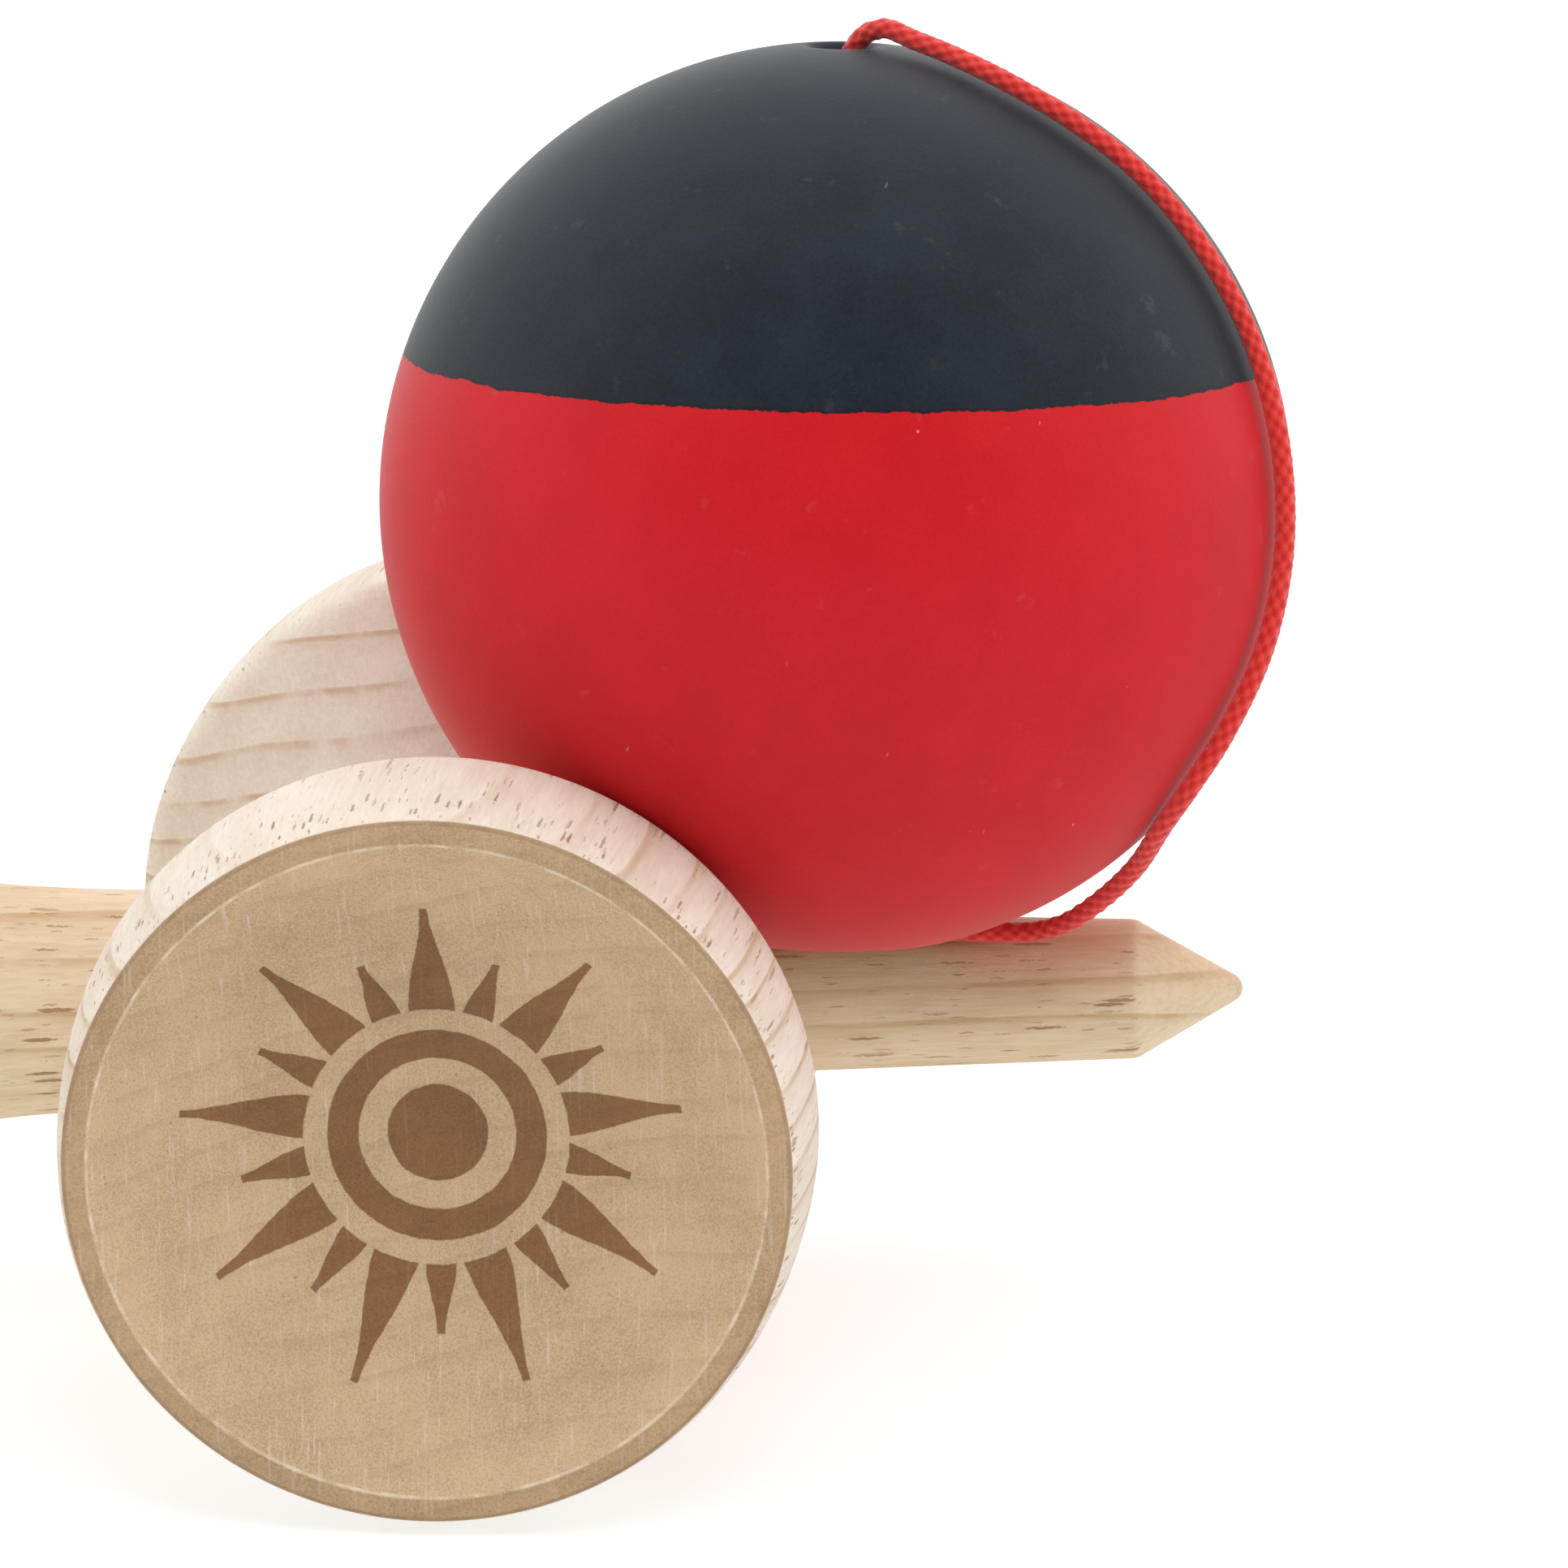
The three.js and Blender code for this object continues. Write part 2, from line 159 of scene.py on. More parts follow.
# ------------------------------------------------------------------ frames

sarado_low, sarado_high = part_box("sarado")
FLOOR_POINT = Vector(((sarado_low[0] + sarado_high[0]) / 2, sarado_high[1] - SMALL_CUP_REACH * MM, 0))
mounts = {mount["name"]: mount for mount in frame["record"]["mounts"]}
ken_back = mounts["base_cup_rim"]["axis"]
TILT = math.atan2(-ken_back[2], -ken_back[0])
CROSS_FRAME = Matrix.Translation(FLOOR_POINT + Vector((0, 0, CUP_WIDEST_RADIUS * MM))) @ Matrix.Rotation(
    -TILT, 4, "Y"
)
BALL_TURN = Matrix.Rotation(-BALL_LEAN, 4, "X")
BALL_FRAME = Matrix.Translation(FLOOR_POINT + Vector(BALL_CENTRE) * MM) @ BALL_TURN


def from_floor_point(point):
    """A point in mm from the floor point under the cross, in the model's frame in metres."""
    return FLOOR_POINT + Vector(point) * MM


def from_ball(x, y, z):
    """A point of the ball frame in mm, from the floor point under the cross."""
    return tuple(BALL_TURN @ Vector((x, y, z)) + Vector(BALL_CENTRE))


def over_lip(aside, height):
    """A string point in or over the string hole, from its distance to the hole's axis and height."""
    return from_ball(aside * math.cos(LIP_AZIMUTH), aside * math.sin(LIP_AZIMUTH), height)


def on_ball(polar, azimuth):
    """A string point just above the ball's skin, from its angles in degrees in the ball frame."""
    radius = BALL_RADIUS + STRING_RADIUS + GAP
    p, a = math.radians(polar), math.radians(azimuth)
    return from_ball(
        radius * math.sin(p) * math.cos(a), radius * math.sin(p) * math.sin(a), radius * math.cos(p)
    )


# ------------------------------------------------------------------ camera

CAMERA_POINT = (60.9, -755.95, 252.2)  # from the floor point under the cross
CAMERA_FORWARD = Vector((-0.0513, 0.9614, -0.2703))
CAMERA_UP = Vector((-0.0206, 0.2696, 0.9628))
CAMERA_LENS = 271.4
SENSOR_WIDTH = 36
CLIP_START = 0.05  # m
CLIP_END = 50  # m


def make_camera():
    """The camera, which looks down a little from the big cup's side."""
    data = bpy.data.cameras.new("camera")
    data.lens = CAMERA_LENS
    data.sensor_width = SENSOR_WIDTH
    data.clip_start = CLIP_START
    data.clip_end = CLIP_END
    camera = bpy.data.objects.new("camera", data)
    back = -CAMERA_FORWARD.normalized()
    right = CAMERA_UP.cross(back).normalized()
    up = back.cross(right)
    turn = Matrix((right, up, back)).transposed().to_4x4()
    camera.matrix_world = Matrix.Translation(from_floor_point(CAMERA_POINT)) @ turn
    bpy.context.scene.collection.objects.link(camera)
    bpy.context.scene.camera = camera


make_camera()

# ------------------------------------------------------------------ curves


def arc(cx, cy, radius, from_angle, to_angle, steps):
    """Points (x, y) of an arc about (cx, cy), both ends included."""
    angles = np.linspace(from_angle, to_angle, steps + 1)
    return [(cx + radius * math.cos(a), cy + radius * math.sin(a)) for a in angles]


def smooth_line(points, per_span):
    """A centripetal Catmull-Rom curve through the points, as an array with per_span points a span."""
    given = np.array(points, float)
    padded = np.vstack([2 * given[0] - given[1], given, 2 * given[-1] - given[-2]])
    made = []
    for i in range(len(given) - 1):
        p = padded[i : i + 4]
        gaps = np.sqrt(np.linalg.norm(np.diff(p, axis=0), axis=1))
        t0, t1, t2, t3 = np.concatenate([[0], np.cumsum(gaps)])
        t = np.linspace(t1, t2, per_span, endpoint=False)[:, None]
        a1 = (t1 - t) / (t1 - t0) * p[0] + (t - t0) / (t1 - t0) * p[1]
        a2 = (t2 - t) / (t2 - t1) * p[1] + (t - t1) / (t2 - t1) * p[2]
        a3 = (t3 - t) / (t3 - t2) * p[2] + (t - t2) / (t3 - t2) * p[3]
        b1 = (t2 - t) / (t2 - t0) * a1 + (t - t0) / (t2 - t0) * a2
        b2 = (t3 - t) / (t3 - t1) * a2 + (t - t1) / (t3 - t1) * a3
        made.append((t2 - t) / (t2 - t1) * b1 + (t - t1) / (t2 - t1) * b2)
    return np.vstack([*made, given[-1]])


def even_steps(line, step):
    """The same line with points a step apart, and its length."""
    along = np.concatenate([[0], np.cumsum(np.linalg.norm(np.diff(line, axis=0), axis=1))])
    marks = np.linspace(0, along[-1], max(2, round(along[-1] / step)) + 1)
    even = np.column_stack([np.interp(marks, along, line[:, k]) for k in range(3)])
    return even, along[-1]


# ------------------------------------------------------------------ string


def coil_points():
    """The coil's turns beside and on each other: each turn moves a quarter way round the bundle."""
    bundle = STRING_RADIUS * math.sqrt(2)
    middle = STRING_RADIUS + bundle + COIL_LIFT
    points = []
    for turn in np.linspace(0, COIL_TURNS, round(COIL_TURNS * COIL_POINTS) + 1):
        around = COIL_FROM - 2 * math.pi * turn
        place = math.radians(BUNDLE_FROM + BUNDLE_TURN * turn)
        radius = COIL_MEAN_RADIUS + bundle * math.cos(place)
        points.append(
            (
                COIL_CENTRE[0] + radius * math.cos(around),
                COIL_CENTRE[1] + radius * math.sin(around),
                middle + bundle * math.sin(place),
            )
        )
    return points


# From the knot in the cross piece, round the coil, along the spike, up the ball and down its hole.
STRING_ROUTE = [
    (0.36, 0, 14.1),
    (0.42, 0, 11.5),
    (0.2, -0.9, 8.6),
    (-0.2, -1.8, 6.6),
    (-0.5, -1.85, 4.9),
    (-0.68, -1.15, 3.65),
    (-0.67, 0.0, 2.9),
    *coil_points(),
    (12.0, -8.7, 3.05),
    (11.35, -9.6, 4.2),
    (11.15, -9.95, 5.8),
    (11.5, -10.0, 8.0),
    (12.2, -9.9, 12.0),
    (12.6, -9.7, 18.0),
    (13.3, -9.0, 23.5),
    (14.7, -7.4, 27.2),
    (17.3, -5.2, 29.4),
    (21.0, -3.7, 30.3),
    (26.0, -3.0, 30.6),
    (30.0, -3.0, 30.65),
    (33.0, -3.2, 30.65),
    (35.5, -3.6, 30.75),
    (37.7, -4.3, 31.1),
    (39.6, -5.6, 32.1),
    (41.9, -7.7, 34.3),
    (44.3, -10.9, 37.6),
    (46.2, -14.8, 41.7),
    on_ball(123, -23.4),
    on_ball(115.7, -21.6),
    on_ball(104.5, -18.6),
    on_ball(92, -17.3),
    on_ball(79, -17.3),
    on_ball(66, -17.8),
    on_ball(54, -19),
    on_ball(42.6, -21),
    on_ball(33.5, -25),
    on_ball(24, -29.5),
    on_ball(16, -31),
    over_lip(5.41, 30.68),
    over_lip(3.8, 31.17),
    over_lip(2.83, 31.12),
    over_lip(1.92, 30.75),
    over_lip(1.19, 30.11),
    over_lip(0.71, 29.25),
    over_lip(0.55, 28.3),
    over_lip(0.55, 27.3),
    over_lip(0.52, 24.5),
    over_lip(0.33, 20),
    over_lip(0, 14),
    over_lip(0, STRING_START),
]


def transported_frames(line):
    """Unit side vectors along a line that don't twist about it."""
    tangents = np.gradient(line, axis=0)
    tangents /= np.linalg.norm(tangents, axis=1)[:, None]
    helper = np.eye(3)[np.argmin(np.abs(tangents[0]))]
    side = np.cross(tangents[0], helper)
    first = np.empty_like(line)
    for i, tangent in enumerate(tangents):
        side = side - tangent * (side @ tangent)
        side = side / np.linalg.norm(side)
        first[i] = side
    return first, np.cross(tangents, first)


def braided_tube(name, line, radius, step):
    """A closed tube along a line in mm, with crossing strands in relief and UVs of turns and metres."""
    centres, length = even_steps(line, step)
    first, second = transported_frames(centres)
    count = len(centres)
    angle = np.linspace(0, 2 * math.pi, STRING_SIDES, endpoint=False)
    along = np.linspace(0, length, count)[:, None]
    lattice = np.cos(BRAID_STRANDS * angle)[None, :] * np.cos(math.pi * along / BRAID_STEP)
    reach = radius - BRAID_RELIEF / 2 + BRAID_RELIEF / 2 * lattice
    ends = np.clip(np.minimum(along, length - along) / radius, 0, 1)
    reach = reach * np.sqrt(1 - (1 - ends) ** 2 * 0.75)
    cosine, sine = np.cos(angle)[None, :, None], np.sin(angle)[None, :, None]
    ring = cosine * first[:, None, :] + sine * second[:, None, :]
    vertices = (centres[:, None, :] + reach[:, :, None] * ring).reshape(-1, 3)
    faces = []
    for i in range(count - 1):
        for k in range(STRING_SIDES):
            n = (k + 1) % STRING_SIDES
            a, b = i * STRING_SIDES, (i + 1) * STRING_SIDES
            faces.append((a + k, a + n, b + n, b + k))
    faces.append(tuple(reversed(range(STRING_SIDES))))
    faces.append(tuple(range((count - 1) * STRING_SIDES, count * STRING_SIDES)))
    mesh = bpy.data.meshes.new(name)
    mesh.from_pydata([tuple(from_floor_point(v)) for v in vertices], [], faces)
    uv = mesh.uv_layers.new(name="braid")
    index = np.empty(len(mesh.loops), int)
    mesh.loops.foreach_get("vertex_index", index)
    turns = (index % STRING_SIDES) / STRING_SIDES
    metres = (index // STRING_SIDES) * (length / (count - 1)) * MM
    order = np.arange(len(index))
    on_side = order < 4 * (count - 1) * STRING_SIDES
    far_corner = (order % 4 == 1) | (order % 4 == 2)
    turns = np.where((turns == 0) & far_corner & on_side, 1.0, turns)
    uv.data.foreach_set("uv", np.column_stack([turns, metres]).ravel())
    mesh.shade_smooth()
    made = bpy.data.objects.new(name, mesh)
    bpy.context.scene.collection.objects.link(made)
    return made, centres, length


string_line = smooth_line(STRING_ROUTE, STRING_SPAN_POINTS)
string, string_centres, string_length = braided_tube("string", string_line, STRING_RADIUS, STRING_STEP)


def knot(name, centre, axis):
    """A small overhand knot pulled tight, about a point in mm, with its string along axis."""
    t = np.linspace(0, 2 * math.pi, 60, endpoint=False)
    reach = KNOT_REACH + KNOT_LOBE * np.cos(3 * t)
    loop = np.column_stack([reach * np.cos(2 * t), reach * np.sin(2 * t), KNOT_WAVE * np.sin(3 * t)])
    turn = np.array(Vector((0, 0, 1)).rotation_difference(Vector(axis)).to_matrix())
    line = loop @ turn.T + np.array(centre)
    made, _, _ = braided_tube(name, np.vstack([line, line[:1]]), KNOT_STRING_RADIUS, KNOT_STEP)
    return made


knot_drop = CROSS_FRAME.to_3x3() @ Vector((0, 0, -KNOT_POCKET_FLOOR + KNOT_HALF_HEIGHT + GAP))
sarado_knot = knot("sarado_knot_tied", Vector((0, 0, CUP_WIDEST_RADIUS)) + knot_drop, knot_drop)
bead_knot_height = STRING_START - GAP - KNOT_HALF_HEIGHT
bead_knot = knot("bead_knot_tied", from_ball(0, 0, bead_knot_height), BALL_TURN.to_3x3() @ Vector((0, 0, 1)))

# ------------------------------------------------------------------ turned pieces


def lathe(name, outline, axis, place, segments=192, closed=False):
    """A solid of revolution about axis from (radius, height) points in mm, in a frame of its own."""
    order = {"X": (2, 0, 1), "Y": (1, 2, 0), "Z": (0, 1, 2)}[axis]
    mesh = bmesh.new()
    rings = []
    for radius, height in outline:
        count = segments if radius > TINY else 1
        ring = []
        for k in range(count):
            angle = 2 * math.pi * k / count
            spun = (radius * math.cos(angle), radius * math.sin(angle), height)
            ring.append(mesh.verts.new([spun[i] * MM for i in order]))
        rings.append(ring)
    for lower, upper in zip(rings, rings[1:] + (rings[:1] if closed else [])):
        for k in range(segments):
            corners = [
                lower[k % len(lower)],
                lower[(k + 1) % len(lower)],
                upper[(k + 1) % len(upper)],
                upper[k % len(upper)],
            ]
            corners = list(dict.fromkeys(corners))
            if len(corners) > 2:
                mesh.faces.new(corners)
    bmesh.ops.recalc_face_normals(mesh, faces=mesh.faces)
    data = bpy.data.meshes.new(name)
    mesh.to_mesh(data)
    mesh.free()
    made = bpy.data.objects.new(name, data)
    made.matrix_world = place
    bpy.context.scene.collection.objects.link(made)
    return made


def finish_mesh(piece):
    """Smooth shading that stops at the sharp edges."""
    piece.data.shade_smooth()
    piece.data.set_sharp_from_angle(angle=SHARP_ANGLE)


def bore(piece, radius_low, radius_high, start, end, axis):
    """Cuts a round hole along an axis of the piece's own frame, between two heights in mm."""
    outline = [(0, start), (radius_low, start), (radius_high, end), (0, end)]
    drill = lathe("drill", outline, axis, piece.matrix_world, segments=96)
    modifier = piece.modifiers.new("bore", "BOOLEAN")
    modifier.operation = "DIFFERENCE"
    modifier.object = drill
    modifier.solver = "EXACT"
    depsgraph = bpy.context.evaluated_depsgraph_get()
    cut = bpy.data.meshes.new_from_object(piece.evaluated_get(depsgraph))
    piece.modifiers.clear()
    piece.data = cut
    bpy.data.objects.remove(drill)


def mark_end_grain(piece, axis):
    """Stores how squarely each point faces out of the nearer end of the piece, along its axis."""
    data = piece.data
    normals = np.empty(len(data.vertices) * 3, np.float32)
    data.vertex_normals.foreach_get("vector", normals)
    places = np.empty(len(data.vertices) * 3, np.float32)
    data.vertices.foreach_get("co", places)
    facing = normals.reshape(-1, 3) @ np.array(axis)
    facing *= np.sign(places.reshape(-1, 3) @ np.array(axis))
    data.attributes.new("end_grain", "FLOAT", "POINT").data.foreach_set("value", facing)


def rounded_rim(radius, plane, inwards, lip):
    """A rim's outline from the dish's edge to the barrel, with its two edges slightly rounded."""
    inner = radius - RIM_EDGE - lip
    outer = arc(radius - RIM_EDGE, RIM_EDGE, RIM_EDGE, -math.pi / 2, 0, 6)
    lead = [(inner, LIP_EDGE * 0.55), (inner + LIP_EDGE * 0.4, 0.04), (inner + LIP_EDGE, 0)]
    return [(r, plane + inwards * depth) for r, depth in lead + outer]


def dish(opening, steps):
    """A dish's outline as (radius, depth), from its middle to its opening."""
    centre = -math.sqrt(DISH_RADIUS**2 - opening**2)
    points = arc(centre, 0, DISH_RADIUS, 0, math.asin(opening / DISH_RADIUS), steps)
    return [(radius, depth) for depth, radius in points][:-1]


def cup_outline(reach, waist_depth, inwards):
    """One cup of the cross piece from its dish's middle to the waist, as (radius, height)."""
    plane = -inwards * reach
    barrel = [
        (CUP_WIDEST_RADIUS - (CUP_WIDEST_RADIUS - CUP_RIM_RADIUS) * (1 - part) ** 2, CUP_BARREL_DEPTH * part)
        for part in np.linspace(0.12, 0.94, 10)
    ]
    shoulder_centre = CUP_WIDEST_RADIUS - CUP_SHOULDER_ROUND
    shoulder = [
        (radius, depth)
        for depth, radius in arc(
            CUP_BARREL_DEPTH, shoulder_centre, CUP_SHOULDER_ROUND, math.pi / 2, CUP_SHOULDER_END, 10
        )
    ]
    start = np.array(shoulder[-1])
    bend = np.array((WAIST_RADIUS, start[1] + (start[0] - WAIST_RADIUS) * math.tan(CUP_SHOULDER_END)))
    end = np.array((WAIST_RADIUS, waist_depth))
    part = np.linspace(0, 1, 29)[1:, None]
    flank = (1 - part) ** 2 * start + 2 * part * (1 - part) * bend + part**2 * end
    inside = [(radius, plane + inwards * depth) for radius, depth in dish(DISH_EDGE, 28)]
    outside = [(radius, plane + inwards * depth) for radius, depth in [*barrel, *shoulder, *flank]]
    return inside + rounded_rim(CUP_RIM_RADIUS, plane, inwards, CUP_LIP) + outside


def make_sarado():
    """The cross piece, with the ken's bore through its waist and the string's hole under it."""
    big = cup_outline(BIG_CUP_REACH, BIG_WAIST_DEPTH, 1)
    small = cup_outline(SMALL_CUP_REACH, SMALL_WAIST_DEPTH, -1)
    piece = lathe("sarado_turned", big + small[::-1], "Y", CROSS_FRAME)
    slope = (SEAT_RADIUS_BACK - SEAT_RADIUS_FRONT) / (2 * SEAT_HALF)
    middle = (SEAT_RADIUS_BACK + SEAT_RADIUS_FRONT) / 2 + GAP
    bore(piece, middle + slope * BORE_START, middle - slope * BORE_START, -BORE_START, BORE_START, "X")
    bore(piece, SHOULDER_RADIUS + GAP, SHOULDER_RADIUS + GAP, -BORE_START, -SEAT_HALF, "X")
    bore(piece, SARADO_STRING_HOLE_RADIUS, SARADO_STRING_HOLE_RADIUS, -BORE_START, 0, "Z")
    bore(piece, KNOT_POCKET_RADIUS, KNOT_POCKET_RADIUS, -KNOT_POCKET_FLOOR, 0, "Z")
    finish_mesh(piece)
    return piece


def make_ken():
    """The base cup, the handle, the seat of the cross piece and the spike, as one turned piece."""
    opening = BASE_RIM_RADIUS - RIM_EDGE - CUP_LIP
    inside = [(radius, KEN_RIM_X + depth) for radius, depth in dish(opening, 24)]
    rim = rounded_rim(BASE_RIM_RADIUS, KEN_RIM_X, 1, CUP_LIP)
    flank = smooth_line(
        [
            (BASE_RIM_RADIUS + 0.12, KEN_RIM_X + 0.9, 0),
            (BASE_WIDEST_RADIUS - 0.25, KEN_RIM_X + 2, 0),
            (BASE_WIDEST_RADIUS, BASE_WIDEST_X, 0),
            *[(radius, x, 0) for radius, x in HANDLE_PROFILE],
            (SHOULDER_RADIUS, -SEAT_HALF - GAP - 0.4, 0),
        ],
        8,
    )[:, :2]
    shoulder = [(SHOULDER_RADIUS - 0.12, -SEAT_HALF - GAP - 0.1), (SHOULDER_RADIUS - 0.4, -SEAT_HALF - GAP)]
    seat = [(SEAT_RADIUS_BACK, -SEAT_HALF - GAP), (SEAT_RADIUS_FRONT, SEAT_HALF)]
    slope = (SPIKE_END_RADIUS - TIP_ROUND) / (TIP_X - SPIKE_END_X - TIP_ROUND)
    cone_angle = math.pi / 2 - math.atan(slope)
    spike_length = SPIKE_END_X - 0.5 - SPIKE_BASE_X
    shaft = [
        (
            SPIKE_BASE_RADIUS + (SPIKE_END_RADIUS - SPIKE_BASE_RADIUS) * part,
            SPIKE_BASE_X + spike_length * part,
        )
        for part in np.linspace(0, 1, 12)
    ]
    edge = [
        (SPIKE_END_RADIUS - 0.03, SPIKE_END_X - 0.2),
        (SPIKE_END_RADIUS - 0.12, SPIKE_END_X + 0.12),
        (SPIKE_END_RADIUS - 0.3, SPIKE_END_X + 0.4),
    ]
    tip = [(max(r, 0), x) for x, r in arc(TIP_X - TIP_ROUND, 0, TIP_ROUND, cone_angle, 0, 8)]
    outline = inside + rim + [tuple(p) for p in flank] + shoulder + seat + shaft + edge + tip
    piece = lathe("ken_turned", outline, "X", CROSS_FRAME, segments=128)
    finish_mesh(piece)
    return piece


def make_tama():
    """The ball, with the bore from below and the countersunk string hole down to it from above."""
    mouth = BORE_RADIUS + BORE_CHAMFER
    bottom = -math.acos(mouth / BALL_RADIUS)
    top = math.acos((STRING_HOLE_COUNTERSINK + 0.5) / BALL_RADIUS)
    skin = arc(0, 0, BALL_RADIUS, bottom, top, 120)
    hole_edge = skin[-1][1]
    mouth_height = skin[0][1]
    sink = [
        (STRING_HOLE_COUNTERSINK + 0.15, hole_edge - 0.05),
        (STRING_HOLE_COUNTERSINK - 0.2, hole_edge - 0.3),
        (STRING_HOLE_RADIUS + 0.12, hole_edge - 0.75),
        (STRING_HOLE_RADIUS, hole_edge - 1.2),
    ]
    inside = [
        (STRING_HOLE_RADIUS, BORE_ROOF),
        (BORE_RADIUS - 1, BORE_TOP + 1.6),
        (BORE_RADIUS - 0.2, BORE_TOP + 0.6),
        (BORE_RADIUS, BORE_TOP),
        (BORE_RADIUS, mouth_height + BORE_CHAMFER),
        (BORE_RADIUS + 0.15, mouth_height + 0.17),
    ]
    piece = lathe("tama_turned", skin + sink + inside, "Z", BALL_FRAME, segments=256, closed=True)
    finish_mesh(piece)
    return piece


def make_bead():
    """A round bead with a hole through it."""
    angle = math.acos(BEAD_HOLE_RADIUS / BEAD_RADIUS)
    outline = arc(0, BEAD_HEIGHT, BEAD_RADIUS, -angle, angle, 32)
    piece = lathe("bead_turned", outline, "Z", BALL_FRAME, segments=64, closed=True)
    finish_mesh(piece)
    return piece


sarado = make_sarado()
ken = make_ken()
tama = make_tama()
bead = make_bead()

# ------------------------------------------------------------------ materials

# Colours are linear red, green and blue. A tint multiplies the colour under it.
RED_PAINT = ((0.54, 0.007, 0.012), (0.6, 0.0095, 0.016))
BLACK_PAINT = ((0.0095, 0.0135, 0.02), (0.0165, 0.0225, 0.031))
PAINT_BORDER = (0.02, 0.006, 0.008)
DUST = (0.55, 0.5, 0.48)
# the darker yarn colour also serves as painted shade between the braid's strands
YARN_AND_STRAND_SHADE = ((0.52, 0.011, 0.011), (0.84, 0.05, 0.036))
IVORY = ((0.72, 0.67, 0.53), (0.82, 0.79, 0.68))
RING_TINT = (0.78, 0.66, 0.54)
BURNT_TINT = (0.42, 0.28, 0.19)
# painted shade that darkens and browns the flat lip round each dish
LIP_SHADE_TINT = (0.82, 0.77, 0.72)
# a painted highlight along the lip's inner edge
INNER_EDGE_HIGHLIGHT = (0.78, 0.64, 0.48)
# a painted dark shade line along each rim's outer edge
OUTER_EDGE_SHADE = (0.3, 0.19, 0.11)
PORE_BROWN = (0.2, 0.12, 0.07)
END_DARKEST = 0.72  # of the end grain's colour
END_PALEST = 1.1

# Depths of the surfaces' relief, in metres.
WOOD_RELIEF = 0.00008
PAINT_RELIEF = 0.00003
BRAID_BUMP = 0.00007
BEAD_RELIEF = 0.00002

RING_GAP = 2.7  # from one growth ring to the next, in mm


class Shader:
    """A node material, built up from small steps that take sockets or plain values."""

    def __init__(self, name):
        self.material = bpy.data.materials.new(name)
        self.material.use_nodes = True
        self.tree = self.material.node_tree
        self.surface = self.tree.nodes["Principled BSDF"]

    def feed(self, socket, value):
        """Links a socket to the socket, or gives it the plain value."""
        if isinstance(value, bpy.types.NodeSocket):
            self.tree.links.new(value, socket)
        else:
            socket.default_value = value

    def node(self, kind, inputs, **settings):
        made = self.tree.nodes.new(kind)
        for key, value in settings.items():
            setattr(made, key, value)
        for key, value in inputs.items():
            self.feed(made.inputs[key], value)
        return made

    def math(self, operation, *values):
        return self.node("ShaderNodeMath", dict(enumerate(values)), operation=operation).outputs[0]

    def length(self, first, second):
        """The length of a vector from its two parts."""
        squares = [self.math("MULTIPLY", value, value) for value in (first, second)]
        return self.math("SQRT", self.math("ADD", *squares))

    def step(self, value, low, high, to_low=0.0, to_high=1.0):
        """Goes smoothly from to_low to to_high as value goes from low to high."""
        inputs = {"Value": value, "From Min": low, "From Max": high, "To Min": to_low, "To Max": to_high}
        return self.node("ShaderNodeMapRange", inputs, interpolation_type="SMOOTHSTEP").outputs[0]

    def mix(self, factor, first, second, blend="MIX"):
        made = self.node("ShaderNodeMix", {}, data_type="RGBA", blend_type=blend)
        self.feed(made.inputs["Factor"], factor)
        self.feed(made.inputs[6], first)
        self.feed(made.inputs[7], second)
        return made.outputs[2]

    def own_place(self):
        """The point in the piece's own frame, in mm."""
        place = self.node("ShaderNodeTexCoord", {}).outputs["Object"]
        return self.scaled(place, (1 / MM, 1 / MM, 1 / MM))

    def own_facing(self):
        """The way the surface faces, in the piece's own frame."""
        return self.node("ShaderNodeTexCoord", {}).outputs["Normal"]

    def scaled(self, vector, scale, turn=(0, 0, 0)):
        inputs = {"Vector": vector, "Scale": scale, "Rotation": turn}
        return self.node("ShaderNodeMapping", inputs).outputs[0]

    def parts(self, vector):
        return self.node("ShaderNodeSeparateXYZ", {"Vector": vector}).outputs

    def noise(self, vector, scale, detail=2.0, roughness=0.5, distortion=0.0):
        inputs = {
            "Vector": vector,
            "Scale": scale,
            "Detail": detail,
            "Roughness": roughness,
            "Distortion": distortion,
        }
        return self.node("ShaderNodeTexNoise", inputs).outputs["Fac"]

    def warped(self, vector, scale, reach):
        """The point moved about by noise of one scale."""
        noise = self.node("ShaderNodeTexNoise", {"Vector": vector, "Scale": scale, "Detail": 2.0})
        shift = self.node(
            "ShaderNodeVectorMath",
            {0: noise.outputs["Color"], 1: (0.5, 0.5, 0.5)},
            operation="SUBTRACT",
        ).outputs[0]
        shift = self.node(
            "ShaderNodeVectorMath", {0: shift, "Scale": 2 * reach}, operation="SCALE"
        ).outputs[0]
        return self.node("ShaderNodeVectorMath", {0: vector, 1: shift}, operation="ADD").outputs[0]

    def specks(self, vector, share, size, softness):
        """Separate specks, one to a cell of size 1 in some cells, of random strength."""
        cells = self.node("ShaderNodeTexVoronoi", {"Vector": vector, "Scale": 1.0})
        chance = self.node("ShaderNodeSeparateColor", {"Color": cells.outputs["Color"]}).outputs
        big = self.step(chance[0], 1 - share, 1.0, 0.0, size)
        inside = self.math("SUBTRACT", big, cells.outputs["Distance"])
        strength = self.math("MULTIPLY_ADD", chance[1], 0.6, 0.4)
        return self.math("MULTIPLY", self.step(inside, 0.0, softness), strength)

    def bump(self, height, distance):
        """Relief of the surface, from a height between 0 and 1 and its real depth in metres."""
        inputs = {"Height": height, "Distance": distance, "Strength": 1.0}
        normal = self.node("ShaderNodeBump", inputs).outputs[0]
        self.feed(self.surface.inputs["Normal"], normal)

    def set(self, **values):
        """Feeds the surface's sockets, named with _ for each space."""
        for key, value in values.items():
            self.feed(self.surface.inputs[key.replace("_", " ")], value)


def colour(red, green, blue):
    """An opaque colour."""
    return (red, green, blue, 1.0)


